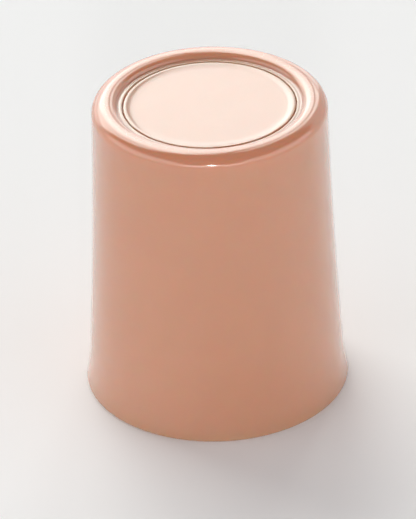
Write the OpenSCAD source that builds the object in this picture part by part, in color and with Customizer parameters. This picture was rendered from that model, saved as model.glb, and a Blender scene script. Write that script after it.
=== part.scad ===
// Dappen dish: a small double-walled cup for liquids, with a round-bottomed well.
// It stands mouth down, as it is stored: the rim rests on z = 0 and the base faces up.
// Three pieces: an outer shell, an inner cup set into its mouth, and a disc that closes its base.

/* [Outer shell] */
// Outside diameter at the lip, the widest point
mouth_d = 36; // [34:0.5:38]
// Height from the rim to the crest of the foot ring
height = 42.9; // [38:0.1:48]
// Lean of the wall from vertical at the lip, in degrees
lean_lip = 11.5; // [10:0.1:12]
// Lean of the wall where the flare at the mouth begins, in degrees
lean_flare = 3.6; // [3.2:0.1:3.8]
// Lean of the wall just under the foot ring, in degrees
lean_foot = 1.4; // [1:0.1:1.6]
// Height of the flare at the mouth
flare_h = 5; // [4:0.5:8]
// Wall thickness of the shell
shell_wall = 1.3; // [1.2:0.05:1.35]
// Rounding of the lip's outer edge
lip_round = 0.35; // [0.2:0.05:0.5]

/* [Foot ring] */
// Outer rounding of the foot ring, between the wall and the crest
foot_round = 1.6; // [1.4:0.05:1.8]
// Radius of the crest's gentle dome
crest_round = 2.4; // [2.2:0.1:2.6]
// Width of the flat line along the crest that the dish stands on
crest_w = 0.2; // [0.1:0.1:0.3]
// Radius of the shoulder between the crest and the slope
shoulder_round = 0.8; // [0.7:0.05:0.85]
// Steepest slope between the crest and the ledge, in degrees
slope_angle = 66; // [62:1:68]
// Depth of the ledge below the crest
ledge_depth = 0.77; // [0.7:0.01:0.85]
// Width of the flat top of the ledge around the disc
ledge_w = 0.1; // [0.05:0.05:0.3]

/* [Base disc] */
// Gap all round the disc's edge
disc_gap = 0.06; // [0.05:0.01:0.15]
// Thickness of the disc at its rim
disc_t = 1.2; // [1:0.1:1.5]
// Steepest slope of the face's raised border, in degrees
border_angle = 7; // [5:1:12]
// Width of the hollow curve that rises to the border
border_w = 1.3; // [1:0.1:2]
// Width of the rounded inner edge of the border
crown_w = 0.25; // [0.1:0.05:0.4]

/* [Inner cup] */
// Width of the whole rim, from the lip's outer edge to the well
rim_w = 3.3; // [3.2:0.1:3.8]
// Depth of the well
well_depth = 30; // [26:0.5:31]
// Draft of the well's wall, in degrees
well_draft = 3.5; // [3.5:0.5:5]
// Wall thickness of the cup
cup_wall = 1.2; // [1:0.1:1.3]
// Thickness of the cup's flange
flange_t = 1.2; // [1:0.1:1.5]

/* [Hidden] */
$fn = 160;

shell_colour = [0.90, 0.64, 0.52];
disc_colour = [0.94, 0.70, 0.58];
cup_colour = [0.95, 0.78, 0.69];

crest_out = 25;      // slope at which the crest's dome meets the outer rounding, in degrees
crest_in = 16;       // slope at which it meets the shoulder, in degrees
bead_round = 0.5;    // radius of the ledge's rounded outer side
bead_angle = 12;     // steepest slope of that side, in degrees
edge_round = 0.2;    // broken edges of the disc and of the opening around it
border_land = 0.1;   // flat top of the disc's border
seat_t = 1;          // thickness of the shelf that the disc sits on
seat_w = 1.4;        // width of that shelf
locate_gap = 0.1;    // between the disc's locating ring and the shelf's hole
locate_w = 1.2;      // wall of the locating ring
flange_gap = 0.05;   // between the flange's edge and the shell
flange_seat = 0.5;   // width of the step that the flange bears on
rim_round = 0.5;     // rounding of the well's mouth

// Points of an arc about centre c, from angle a to angle b in degrees. An arc that carries on from
// the last point of the outline starts at step 1, so that no point comes twice.
function arc(c, r, a, b, steps, first = 0) =
    [for (i = [first:steps]) let (t = a + (b - a) * i / steps) c + r * [cos(t), sin(t)]];

// ---- The shell's wall: a lip rounding, a flare and a long shallow curve, tangent where they meet

mouth_r = mouth_d / 2;
lip_c = [mouth_r - lip_round, lip_round];
lip_end = lip_c + lip_round * [cos(lean_lip), sin(lean_lip)];
flare_r = (flare_h - lip_end[1]) / (sin(lean_lip) - sin(lean_flare));
flare_c = lip_end + flare_r * [cos(lean_lip), sin(lean_lip)];
flare_end = flare_c - flare_r * [cos(lean_flare), sin(lean_flare)];
crest_z = height - crest_round;
wall_top_z = crest_z + (crest_round - foot_round) * cos(crest_out) + foot_round * sin(lean_foot);
wall_r = (wall_top_z - flare_h) / (sin(lean_flare) - sin(lean_foot));
wall_c = flare_end + wall_r * [cos(lean_flare), sin(lean_flare)];
wall_end = wall_c - wall_r * [cos(lean_foot), sin(lean_foot)];
foot_c = wall_end - foot_round * [cos(lean_foot), sin(lean_foot)];

// Points of the outside of the wall from the lip up to the foot, moved inwards by t
function wall_line(t) = concat(
    arc(flare_c, flare_r + t, 180 + lean_lip, 180 + lean_flare, 12, 1),
    arc(wall_c, wall_r + t, 180 + lean_flare, 180 + lean_foot, 14, 1));

// The inside of the wall, from the foot down to the lip, between heights low and high
inner_line = wall_line(shell_wall);
function inner_wall(low, high) =
    [for (i = [len(inner_line) - 1:-1:0]) let (p = inner_line[i]) if (p[1] > low && p[1] < high) p];

// Radius of the inside of the wall at height z
function inner_radius(z) = lookup(z, [for (p = inner_line) [p[1], p[0]]]);

// ---- The base: crest, shoulder, slope, ledge and the opening for the disc

crest_outer_c = [foot_c[0] - (crest_round - foot_round) * sin(crest_out), crest_z];
crest_inner_c = crest_outer_c - [crest_w, 0];
shoulder_c = crest_inner_c + (crest_round - shoulder_round) * [-sin(crest_in), cos(crest_in)];
shoulder_end = shoulder_c + shoulder_round * [-sin(slope_angle), cos(slope_angle)];
ledge_z = height - ledge_depth;
bead_drop = 1 - cos(bead_angle);
cove_r = (shoulder_end[1] - ledge_z + bead_round * bead_drop) / (1 - cos(slope_angle) - bead_drop);
cove_c = [shoulder_end[0] - cove_r * sin(slope_angle), shoulder_end[1] + cove_r * cos(slope_angle)];
bead_c = [cove_c[0] - (cove_r + bead_round) * sin(bead_angle), ledge_z - bead_round];
opening_r = bead_c[0] - ledge_w - edge_round;
disc_r = opening_r - disc_gap;
seat_z = ledge_z - disc_t;
seat_r = opening_r - seat_w;
inside_z = seat_z - seat_t;

// ---- The mouth: the step in the shell and the flange that fits it

step_r = inner_radius(flange_t) + flange_seat;
flange_r = step_r - flange_gap;

// ---- The well: a drafted wall that runs into a round bottom

well_mouth_r = mouth_r - rim_w;
bowl_r = (well_mouth_r - well_depth * tan(well_draft)) / ((1 / cos(well_draft)) - tan(well_draft));
bowl_c = [0, well_depth - bowl_r];
cup_outer_r = well_mouth_r + cup_wall / cos(well_draft) - flange_t * tan(well_draft);
rim_c = [well_mouth_r + rim_round * (1 / cos(well_draft) - tan(well_draft)), rim_round];

module outer_shell() {
    color(shell_colour)
    rotate_extrude()
    polygon(concat(
        arc(lip_c, lip_round, -90, lean_lip, 6),
        wall_line(0),
        arc(foot_c, foot_round, lean_foot, 90 - crest_out, 12, 1),
        arc(crest_outer_c, crest_round, 90 - crest_out, 90, 6, 1),
        arc(crest_inner_c, crest_round, 90, 90 + crest_in, 4),
        arc(shoulder_c, shoulder_round, 90 + crest_in, 90 + slope_angle, 6, 1),
        arc(cove_c, cove_r, slope_angle - 90, -90 - bead_angle, 8, 1),
        arc(bead_c, bead_round, 90 - bead_angle, 90, 2, 1),
        arc([opening_r + edge_round, ledge_z - edge_round], edge_round, 90, 180, 3),
        [[opening_r, seat_z], [seat_r, seat_z], [seat_r, inside_z], [inner_radius(inside_z), inside_z]],
        inner_wall(flange_t, inside_z),
        [[step_r - flange_seat, flange_t], [step_r, flange_t], [step_r, 0]]));
}

module inner_cup() {
    color(cup_colour)
    rotate_extrude()
    polygon(concat(
        [[flange_r, 0], [flange_r, flange_t], [cup_outer_r, flange_t]],
        arc(bowl_c, bowl_r + cup_wall, well_draft, 90, 30),
        arc(bowl_c, bowl_r, 90, well_draft, 30),
        arc(rim_c, rim_round, 180 + well_draft, 270, 5)));
}

module base_disc() {
    hollow_r = border_w / sin(border_angle);
    crown_r = crown_w / sin(border_angle);
    face_z = ledge_z - (hollow_r + crown_r) * (1 - cos(border_angle));
    crown_c = [disc_r - edge_round - border_land, ledge_z - crown_r];
    hollow_c = [crown_c[0] - crown_w - border_w, face_z + hollow_r];
    locate_r = seat_r - locate_gap;
    color(disc_colour)
    rotate_extrude()
    polygon(concat(
        [[0, face_z]],
        arc(hollow_c, hollow_r, -90, border_angle - 90, 8),
        arc(crown_c, crown_r, 90 + border_angle, 90, 3, 1),
        arc([disc_r - edge_round, ledge_z - edge_round], edge_round, 90, 0, 3),
        [[disc_r, seat_z], [locate_r, seat_z], [locate_r, inside_z]],
        [[locate_r - locate_w, inside_z], [locate_r - locate_w, seat_z], [0, seat_z]]));
}

outer_shell();
inner_cup();
base_disc();
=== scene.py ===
"""Dappen dish, standing mouth down on a pale floor: a glossy double-walled plastic cup."""

from math import atan2, cos, degrees, hypot, pi, radians, sin, tan

import bmesh
import bpy
from mathutils import Matrix, Vector


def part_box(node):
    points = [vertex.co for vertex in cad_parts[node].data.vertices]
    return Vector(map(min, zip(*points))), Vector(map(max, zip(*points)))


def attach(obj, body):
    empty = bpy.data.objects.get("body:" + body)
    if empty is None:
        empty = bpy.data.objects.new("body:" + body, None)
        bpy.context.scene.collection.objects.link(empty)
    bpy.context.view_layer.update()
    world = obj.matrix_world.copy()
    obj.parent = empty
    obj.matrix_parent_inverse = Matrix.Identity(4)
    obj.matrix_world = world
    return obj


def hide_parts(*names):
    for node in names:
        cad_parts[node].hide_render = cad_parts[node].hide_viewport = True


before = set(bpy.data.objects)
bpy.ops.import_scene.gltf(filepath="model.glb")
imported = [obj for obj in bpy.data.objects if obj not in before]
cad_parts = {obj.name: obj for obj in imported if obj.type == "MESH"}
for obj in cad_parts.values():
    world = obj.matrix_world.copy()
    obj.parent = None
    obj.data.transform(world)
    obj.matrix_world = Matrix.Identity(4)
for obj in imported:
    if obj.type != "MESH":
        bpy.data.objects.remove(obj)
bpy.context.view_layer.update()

# ---- Sizes. Profiles are drawn in millimetres, as (radius, height) pairs, and turned into metres.

MM = 0.001


def extent(node):
    """A CAD node's lowest height, its greatest radius and its highest height, in millimetres."""
    low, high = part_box(node)
    return low.z / MM, high.x / MM, high.z / MM


_, MOUTH_R, HEIGHT = extent("outer_shell")
_, FLANGE_R, CUP_TOP = extent("inner_cup")
INSIDE_Z, DISC_R, LEDGE_Z = extent("base_disc")

# The wall of the shell, as in the CAD model
LEAN_LIP, LEAN_FLARE, LEAN_FOOT = 11.5, 3.6, 1.4
FLARE_H = 5.0
SHELL_WALL = 1.3
LIP_ROUND = 0.35

# The foot ring and the ledge inside it
FOOT_ROUND = 1.6
CREST_ROUND = 2.4
CREST_W = 0.2
CREST_OUT, CREST_IN = 25.0, 16.0
SHOULDER_ROUND = 0.8
SLOPE_ANGLE = 66.0
BEAD_ROUND = 0.5
BEAD_ANGLE = 12.0
EDGE_ROUND = 0.2

# The base disc and its seat
DISC_GAP = 0.06
DISC_T = 1.2
BORDER_ANGLE = 7.0
BORDER_W = 1.3
CROWN_W = 0.25
BORDER_LAND = 0.1
SEAT_W = 1.4
LOCATE_GAP = 0.1
LOCATE_W = 1.2

# The cup
CUP_WALL = 1.2
WELL_DRAFT = 3.5
FLANGE_T = 1.2
FLANGE_GAP = 0.05
FLANGE_SEAT = 0.5
RIM_W = 3.3
RIM_ROUND = 0.5
FLANGE_ROUND = 0.08

SEGMENTS = 288      # round the axis
SHARP_ANGLE = 28.0  # a profile corner above this, in degrees, stays a crisp edge
SAME_POINT = 1e-5   # points closer than this, in millimetres, are one point
ON_AXIS = 1e-6      # and a smaller radius than this is on the axis


# ---- Profiles

def arc(centre, radius, start, end, steps):
    """Points of an arc from angle start to angle end, in degrees."""
    angles = [radians(start + (end - start) * i / steps) for i in range(steps + 1)]
    return [(centre[0] + radius * cos(a), centre[1] + radius * sin(a)) for a in angles]


def away(point, angle, distance):
    """The point at a distance from another, along an angle in degrees."""
    return point[0] + distance * cos(radians(angle)), point[1] + distance * sin(radians(angle))


def rise(angle):
    """The sine of an angle in degrees."""
    return sin(radians(angle))


def drop(angle):
    """How far an arc of radius 1 falls from its top, at an angle in degrees."""
    return 1 - cos(radians(angle))


# Centres, radii and ends of the arcs that the wall is made of, from the lip up
lip_c = (MOUTH_R - LIP_ROUND, LIP_ROUND)
lip_end = away(lip_c, LEAN_LIP, LIP_ROUND)
flare_r = (FLARE_H - lip_end[1]) / (rise(LEAN_LIP) - rise(LEAN_FLARE))
flare_c = away(lip_end, LEAN_LIP, flare_r)
flare_end = away(flare_c, LEAN_FLARE, -flare_r)
crest_z = HEIGHT - CREST_ROUND
wall_top = crest_z + (CREST_ROUND - FOOT_ROUND) * cos(radians(CREST_OUT)) + FOOT_ROUND * rise(LEAN_FOOT)
wall_r = (wall_top - FLARE_H) / (rise(LEAN_FLARE) - rise(LEAN_FOOT))
wall_c = away(flare_end, LEAN_FLARE, wall_r)
foot_c = away(away(wall_c, LEAN_FOOT, -wall_r), LEAN_FOOT, -FOOT_ROUND)


def wall_line(inset):
    """The shell's wall from the lip up to the foot, moved inwards."""
    return (arc(flare_c, flare_r + inset, 180 + LEAN_LIP, 180 + LEAN_FLARE, 24)
            + arc(wall_c, wall_r + inset, 180 + LEAN_FLARE, 180 + LEAN_FOOT, 40))


def radius_at(line, height):
    """The radius of a rising line at a height."""
    for (r0, z0), (r1, z1) in zip(line, line[1:]):
        if z0 <= height <= z1 and z1 > z0:
            return r0 + (r1 - r0) * (height - z0) / (z1 - z0)
    return line[0][0] if height < line[0][1] else line[-1][0]


def shell_profile():
    """The lip, the wall, the foot ring, the slope to the ledge, then the inside back down to the mouth."""
    crest_c = (foot_c[0] - (CREST_ROUND - FOOT_ROUND) * rise(CREST_OUT), crest_z)
    crest_in_c = (crest_c[0] - CREST_W, crest_z)
    shoulder_c = away(crest_in_c, 90 + CREST_IN, CREST_ROUND - SHOULDER_ROUND)
    shoulder_end = away(shoulder_c, 90 + SLOPE_ANGLE, SHOULDER_ROUND)
    cove_h = shoulder_end[1] - LEDGE_Z + BEAD_ROUND * drop(BEAD_ANGLE)
    cove_r = cove_h / (drop(SLOPE_ANGLE) - drop(BEAD_ANGLE))
    cove_c = away(shoulder_end, 90 + SLOPE_ANGLE, cove_r)
    bead_c = (cove_c[0] - (cove_r + BEAD_ROUND) * rise(BEAD_ANGLE), LEDGE_Z - BEAD_ROUND)
    opening_r = DISC_R + DISC_GAP
    seat_z = LEDGE_Z - DISC_T
    seat_r = opening_r - SEAT_W
    inner = wall_line(SHELL_WALL)
    inner_down = [p for p in reversed(inner) if FLANGE_T < p[1] < INSIDE_Z]
    step_r = radius_at(inner, FLANGE_T) + FLANGE_SEAT
    return (arc(lip_c, LIP_ROUND, -90, LEAN_LIP, 10)
            + wall_line(0)
            + arc(foot_c, FOOT_ROUND, LEAN_FOOT, 90 - CREST_OUT, 28)
            + arc(crest_c, CREST_ROUND, 90 - CREST_OUT, 90, 18)
            + arc(crest_in_c, CREST_ROUND, 90, 90 + CREST_IN, 12)
            + arc(shoulder_c, SHOULDER_ROUND, 90 + CREST_IN, 90 + SLOPE_ANGLE, 16)
            + arc(cove_c, cove_r, SLOPE_ANGLE - 90, -90 - BEAD_ANGLE, 20)
            + arc(bead_c, BEAD_ROUND, 90 - BEAD_ANGLE, 90, 6)
            + arc((opening_r + EDGE_ROUND, LEDGE_Z - EDGE_ROUND), EDGE_ROUND, 90, 180, 6)
            + [(opening_r, seat_z), (seat_r, seat_z), (seat_r, INSIDE_Z),
               (radius_at(inner, INSIDE_Z), INSIDE_Z)]
            + inner_down
            + [(step_r - FLANGE_SEAT, FLANGE_T), (step_r, FLANGE_T)]
            + arc((step_r + FLANGE_ROUND, FLANGE_ROUND), FLANGE_ROUND, 180, 270, 4))


def disc_profile():
    """The face with its hollow border, the edge, then the underside with its locating ring."""
    hollow_r = BORDER_W / rise(BORDER_ANGLE)
    crown_r = CROWN_W / rise(BORDER_ANGLE)
    face_z = LEDGE_Z - (hollow_r + crown_r) * drop(BORDER_ANGLE)
    crown_c = (DISC_R - EDGE_ROUND - BORDER_LAND, LEDGE_Z - crown_r)
    hollow_c = (crown_c[0] - CROWN_W - BORDER_W, face_z + hollow_r)
    seat_z = LEDGE_Z - DISC_T
    locate_r = DISC_R + DISC_GAP - SEAT_W - LOCATE_GAP
    return ([(0, face_z)]
            + arc(hollow_c, hollow_r, -90, BORDER_ANGLE - 90, 24)
            + arc(crown_c, crown_r, 90 + BORDER_ANGLE, 90, 8)
            + arc((DISC_R - EDGE_ROUND, LEDGE_Z - EDGE_ROUND), EDGE_ROUND, 90, 0, 6)
            + [(DISC_R, seat_z), (locate_r, seat_z), (locate_r, INSIDE_Z),
               (locate_r - LOCATE_W, INSIDE_Z), (locate_r - LOCATE_W, seat_z), (0, seat_z)])


def cup_profile():
    """The flange, the outside of the well up to its bottom, then the inside back down to the mouth."""
    mouth_r = MOUTH_R - RIM_W
    depth = CUP_TOP - CUP_WALL
    draft = radians(WELL_DRAFT)
    bowl_r = (mouth_r * cos(draft) - depth * sin(draft)) / (1 - sin(draft))
    bowl_c = (0, depth - bowl_r)
    outer_r = mouth_r + CUP_WALL / cos(draft) - FLANGE_T * tan(draft)
    rim_c = (mouth_r + RIM_ROUND * (1 / cos(draft) - tan(draft)), RIM_ROUND)
    return (arc((FLANGE_R - FLANGE_ROUND, FLANGE_ROUND), FLANGE_ROUND, -90, 0, 4)
            + [(FLANGE_R, FLANGE_T), (outer_r, FLANGE_T)]
            + arc(bowl_c, bowl_r + CUP_WALL, WELL_DRAFT, 90, 56)
            + arc(bowl_c, bowl_r, 90, WELL_DRAFT, 56)
            + arc(rim_c, RIM_ROUND, 180 + WELL_DRAFT, 270, 10))


# ---- Meshes

def distance_between(one, other):
    return hypot(one[0] - other[0], one[1] - other[1])


def without_repeats(profile):
    """The profile as a loop with no point twice in a row and no radius below zero."""
    kept = []
    for r, z in profile:
        point = (r if r > ON_AXIS else 0.0, z)
        if not kept or distance_between(point, kept[-1]) > SAME_POINT:
            kept.append(point)
    if distance_between(kept[0], kept[-1]) < SAME_POINT:
        kept.pop()
    return kept


def corner_angle(before, point, after):
    """How far the outline turns at a point, in degrees."""
    arriving = atan2(point[1] - before[1], point[0] - before[0])
    leaving = atan2(after[1] - point[1], after[0] - point[0])
    return abs(degrees((leaving - arriving + pi) % (2 * pi) - pi))


def lathe(name, profile, material):
    """A closed solid of revolution about Z. Rings on the axis become single points."""
    profile = without_repeats(profile)
    count = len(profile)
    turns = [2 * pi * i / SEGMENTS for i in range(SEGMENTS)]
    mesh = bmesh.new()
    rings = []
    for r, z in profile:
        if r == 0:
            rings.append([mesh.verts.new((0, 0, z * MM))])
        else:
            rings.append([mesh.verts.new((r * cos(t) * MM, r * sin(t) * MM, z * MM)) for t in turns])
    for k in range(count):
        here, there = rings[k], rings[(k + 1) % count]
        if len(here) == 1 and len(there) == 1:
            continue
        for i in range(SEGMENTS):
            j = (i + 1) % SEGMENTS
            corners = [here[i % len(here)], here[j % len(here)],
                       there[j % len(there)], there[i % len(there)]]
            mesh.faces.new(list(dict.fromkeys(corners)))
    bmesh.ops.recalc_face_normals(mesh, faces=mesh.faces)
    for face in mesh.faces:
        face.smooth = True
    for k in range(count):
        sharp = corner_angle(profile[k - 1], profile[k], profile[(k + 1) % count]) > SHARP_ANGLE
        if sharp and len(rings[k]) > 1:
            for i in range(SEGMENTS):
                mesh.edges.get((rings[k][i], rings[k][(i + 1) % SEGMENTS])).smooth = False
    data = bpy.data.meshes.new(name)
    mesh.to_mesh(data)
    mesh.free()
    data.materials.append(material)
    piece = bpy.data.objects.new(name, data)
    bpy.context.scene.collection.objects.link(piece)
    return piece


# ---- Materials. Sizes of patterns are in millimetres.

PIGMENT_SPREAD = 0.015        # how much darker or lighter the pigment gets
SWIRL, FLECK = 9.0, 0.25      # sizes of the pigment's swirls and of its flecks
SWIRL_SHARE = 0.75            # the swirls' part in the pigment's pattern
HANDLED = 6.0                 # size of the patches that handling leaves
SCRATCH_SPACING = 1.6
SCRATCHED, WORN = 0.12, 0.04  # roughness that scratches and wear add where the dish has stood
FOOT_WEAR = (0.09, 0.01)      # depths below the foot's crest between which that wear sets in
RIM_WEAR = (0.12, 0.01)       # and heights above the rim
WAVE, PEEL = 7.0, 0.7         # sizes of the mould's slow waves and of its fine unevenness
WAVE_HEIGHT = 12              # height of the waves, in times the height of the peel
STYRENE_IOR = 1.58
COAT, COAT_ROUGHNESS = 0.8, 0.08
SCATTER = 0.85                # share of the light that scatters below the surface
SCATTER_REACH = 4.0           # how far it gets there
SCATTER_COLOURS = (1.0, 0.3, 0.15)  # and the shares of that for red, green and blue


def shader_node(tree, kind, inputs=None, **settings):
    """A node with its settings, and its inputs set to values or linked to outputs."""
    made = tree.nodes.new(kind)
    for setting, value in settings.items():
        setattr(made, setting, value)
    for socket, value in (inputs or {}).items():
        if isinstance(value, bpy.types.NodeSocket):
            tree.links.new(value, made.inputs[socket])
        else:
            made.inputs[socket].default_value = value
    return made


def noise(tree, place, size, detail, roughness=0.5, distortion=0.0):
    """Smooth noise whose features are about size millimetres wide, from 0 to 1."""
    return shader_node(tree, "ShaderNodeTexNoise", {
        "Vector": place, "Scale": 1 / (size * MM), "Detail": detail,
        "Roughness": roughness, "Distortion": distortion}).outputs["Fac"]


def remap(tree, value, low, high, to_low, to_high):
    """A value taken smoothly from one range to another."""
    return shader_node(tree, "ShaderNodeMapRange", {
        "Value": value, "From Min": low, "From Max": high, "To Min": to_low, "To Max": to_high},
        interpolation_type="SMOOTHSTEP").outputs["Result"]


def calc(tree, operation, first, second):
    """The result of a sum, a product or another operation on two values."""
    return shader_node(tree, "ShaderNodeMath", {0: first, 1: second}, operation=operation).outputs[0]


def shade(colour, factor):
    """A colour made darker or lighter, with full opacity."""
    return tuple(min(1.0, c * factor) for c in colour) + (1.0,)


def plastic(name, colour, gloss, smudge, peel):
    """Moulded pigmented plastic under a clear coat. gloss is its roughness, smudge what handling adds to
    that in patches, and peel the height in millimetres of the fine unevenness that the mould leaves."""
    material = bpy.data.materials.new(name)
    material.use_nodes = True
    tree = material.node_tree
    tree.nodes.clear()
    place = shader_node(tree, "ShaderNodeTexCoord").outputs["Object"]
    height = shader_node(tree, "ShaderNodeSeparateXYZ", {0: place}).outputs["Z"]

    swirls = calc(tree, "MULTIPLY", noise(tree, place, SWIRL, 3, distortion=1.2), SWIRL_SHARE)
    flecks = calc(tree, "MULTIPLY", noise(tree, place, FLECK, 2), 1 - SWIRL_SHARE)
    pigment = calc(tree, "ADD", swirls, flecks)
    colours = shader_node(tree, "ShaderNodeMix", {
        "Factor": remap(tree, pigment, 0.3, 0.7, 0.0, 1.0),
        6: shade(colour, 1 - PIGMENT_SPREAD), 7: shade(colour, 1 + PIGMENT_SPREAD)}, data_type="RGBA")

    patches = remap(tree, noise(tree, place, HANDLED, 4, distortion=0.8), 0.5, 0.72, 0.0, smudge)
    hairlines = shader_node(tree, "ShaderNodeTexVoronoi", {
        "Vector": place, "Scale": 1 / (SCRATCH_SPACING * MM), "Randomness": 1.0},
        feature="DISTANCE_TO_EDGE").outputs["Distance"]
    scratches = remap(tree, hairlines, 0.0, 0.03, SCRATCHED, 0.0)
    crest_start, crest_full = ((HEIGHT - depth) * MM for depth in FOOT_WEAR)
    crest = remap(tree, height, crest_start, crest_full, 0.0, 1.0)
    rim = remap(tree, height, RIM_WEAR[0] * MM, RIM_WEAR[1] * MM, 0.0, 1.0)
    worn = calc(tree, "MULTIPLY", calc(tree, "ADD", scratches, WORN), calc(tree, "MAXIMUM", crest, rim))
    roughness = calc(tree, "ADD", calc(tree, "ADD", patches, gloss), worn)

    wave = shader_node(tree, "ShaderNodeBump", {
        "Height": noise(tree, place, WAVE, 1), "Distance": WAVE_HEIGHT * peel * MM, "Strength": 1.0})
    fine = shader_node(tree, "ShaderNodeBump", {
        "Height": noise(tree, place, PEEL, 2), "Distance": peel * MM, "Strength": 1.0,
        "Normal": wave.outputs[0]})

    shader = shader_node(tree, "ShaderNodeBsdfPrincipled", {
        "Base Color": colours.outputs[2], "Roughness": roughness, "Normal": fine.outputs[0],
        "IOR": STYRENE_IOR, "Coat Weight": COAT, "Coat Roughness": COAT_ROUGHNESS,
        "Subsurface Weight": SCATTER, "Subsurface Radius": SCATTER_COLOURS,
        "Subsurface Scale": SCATTER_REACH * MM})
    shader_node(tree, "ShaderNodeOutputMaterial", {"Surface": shader.outputs[0]})
    return material


PEACH = (0.57, 0.262, 0.155)  # linear red, green and blue
shell_plastic = plastic("shell_plastic", PEACH, gloss=0.13, smudge=0.05, peel=0.0006)
disc_plastic = plastic("disc_plastic", PEACH, gloss=0.15, smudge=0.04, peel=0.0006)
cup_plastic = plastic("cup_plastic", PEACH, gloss=0.26, smudge=0.06, peel=0.0012)


# ---- Pieces

for node, profile, material, slot in (
        ("outer_shell", shell_profile(), shell_plastic, "shell"),
        ("inner_cup", cup_profile(), cup_plastic, "cup"),
        ("base_disc", disc_profile(), disc_plastic, "disc")):
    piece = lathe(node + "_moulding", profile, material)
    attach(piece, "root")
    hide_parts(node)


# ---- Floor

FLOOR_HALF = 3.0  # in metres
FLOOR_COLOUR = (0.94, 0.93, 0.94, 1.0)


def pale_floor():
    """A wide pale sheet, level with the rim."""
    half = FLOOR_HALF
    corners = [(-half, -half, 0), (half, -half, 0), (half, half, 0), (-half, half, 0)]
    data = bpy.data.meshes.new("floor")
    data.from_pydata(corners, [], [(0, 1, 2, 3)])
    floor = bpy.data.objects.new("floor", data)
    bpy.context.scene.collection.objects.link(floor)
    material = bpy.data.materials.new("floor_cloth")
    material.use_nodes = True
    tree = material.node_tree
    tree.nodes.clear()
    shader = shader_node(tree, "ShaderNodeBsdfPrincipled", {
        "Base Color": FLOOR_COLOUR, "Roughness": 0.9, "Specular IOR Level": 0.1})
    shader_node(tree, "ShaderNodeOutputMaterial", {"Surface": shader.outputs[0]})
    data.materials.append(material)


pale_floor()


# ---- Camera: in front of the dish and above it, rolled a little, with a long lens

CAMERA_ELEVATION = 31.6   # in degrees, as is the roll
CAMERA_ROLL = -1.823
CAMERA_DISTANCE = 0.6114  # in metres
CAMERA_LENS = 312.1       # in millimetres, for a sensor 36 mm wide
AIM = Vector((-0.00085, 0.0, 0.4168 * HEIGHT * MM))  # a little below the dish's middle


def place_camera():
    """The camera on the line through AIM, with the dish's axis nearly upright in its picture."""
    tilt, roll = radians(CAMERA_ELEVATION), radians(CAMERA_ROLL)
    forward = Vector((0, cos(tilt), -sin(tilt)))
    level = Vector((1, 0, 0))
    upward = level.cross(forward)
    right = level * cos(roll) + upward * sin(roll)
    up = upward * cos(roll) - level * sin(roll)
    data = bpy.data.cameras.new("camera")
    data.lens = CAMERA_LENS
    data.sensor_width = 36.0
    data.clip_start, data.clip_end = 0.01, 50.0
    camera = bpy.data.objects.new("camera", data)
    bpy.context.scene.collection.objects.link(camera)
    turn = Matrix((right, up, -forward)).transposed().to_4x4()
    camera.matrix_world = Matrix.Translation(AIM - forward * CAMERA_DISTANCE) @ turn
    bpy.context.scene.camera = camera


place_camera()


# ---- Light

def softbox(name, azimuths, elevations, distance, radiance, colour=(1, 1, 1)):
    """An upright lamp that faces the dish and fills a range of azimuths and of elevations, in degrees.
    Azimuth 0 is straight behind the dish, positive to the right. The distance is in metres, and the
    radiance is the lamp's brightness as the dish sees it. The camera doesn't see the lamp."""
    middle, half = radians(sum(azimuths) / 2), radians(azimuths[1] - azimuths[0]) / 2
    low, high = (distance * tan(radians(e)) for e in elevations)
    outward = Vector((sin(middle), cos(middle), 0))
    data = bpy.data.lights.new(name, "AREA")
    data.shape = "RECTANGLE"
    data.size, data.size_y = 2 * distance * tan(half), high - low
    data.energy = radiance * pi * data.size * data.size_y
    data.color = colour
    lamp = bpy.data.objects.new(name, data)
    lamp.location = outward * distance + Vector((0, 0, (low + high) / 2))
    lamp.rotation_euler = outward.to_track_quat("Z", "Y").to_euler()
    lamp.visible_camera = False
    bpy.context.scene.collection.objects.link(lamp)


DAYLIGHT = (0.97, 1.0, 0.95)
ROOM = 0.16      # brightness of the surroundings, as the dish sees them
BACKDROP = 0.9   # and as the camera sees them


def studio():
    """Tall windows behind the dish, pale walls around it and a small lamp low in front of it."""
    softbox("window_middle", (-22, -3), (22, 62), 1.5, 1.4, DAYLIGHT)
    softbox("window", (-52, 4), (22, 62), 1.6, 2.8, DAYLIGHT)
    softbox("side_pane", (9, 20), (22, 62), 1.6, 2.2, DAYLIGHT)
    softbox("low_wall", (-52, 20), (3, 22), 1.7, 1.0)
    softbox("pale_wall", (-70, 70), (1, 48), 1.8, 0.7)
    softbox("right_wall", (70, 150), (3, 36), 1.6, 1.35)
    softbox("left_wall", (-150, -70), (3, 36), 1.6, 1.5)
    softbox("front_wall", (150, 210), (2, 16), 1.6, 2.7)
    softbox("lamp", (177.5, 182.5), (15, 19), 0.9, 76.0)
    world = bpy.data.worlds.new("studio")
    world.use_nodes = True
    bpy.context.scene.world = world
    tree = world.node_tree
    tree.nodes.clear()
    ray = shader_node(tree, "ShaderNodeLightPath").outputs["Is Camera Ray"]
    room = shader_node(tree, "ShaderNodeBackground", {"Color": (1, 1, 1, 1), "Strength": ROOM})
    pale = shader_node(tree, "ShaderNodeBackground", {"Color": (1, 1, 1, 1), "Strength": BACKDROP})
    mixed = shader_node(tree, "ShaderNodeMixShader", {0: ray, 1: room.outputs[0], 2: pale.outputs[0]})
    shader_node(tree, "ShaderNodeOutputWorld", {"Surface": mixed.outputs[0]})
    bpy.context.scene.view_settings.view_transform = "Standard"


studio()
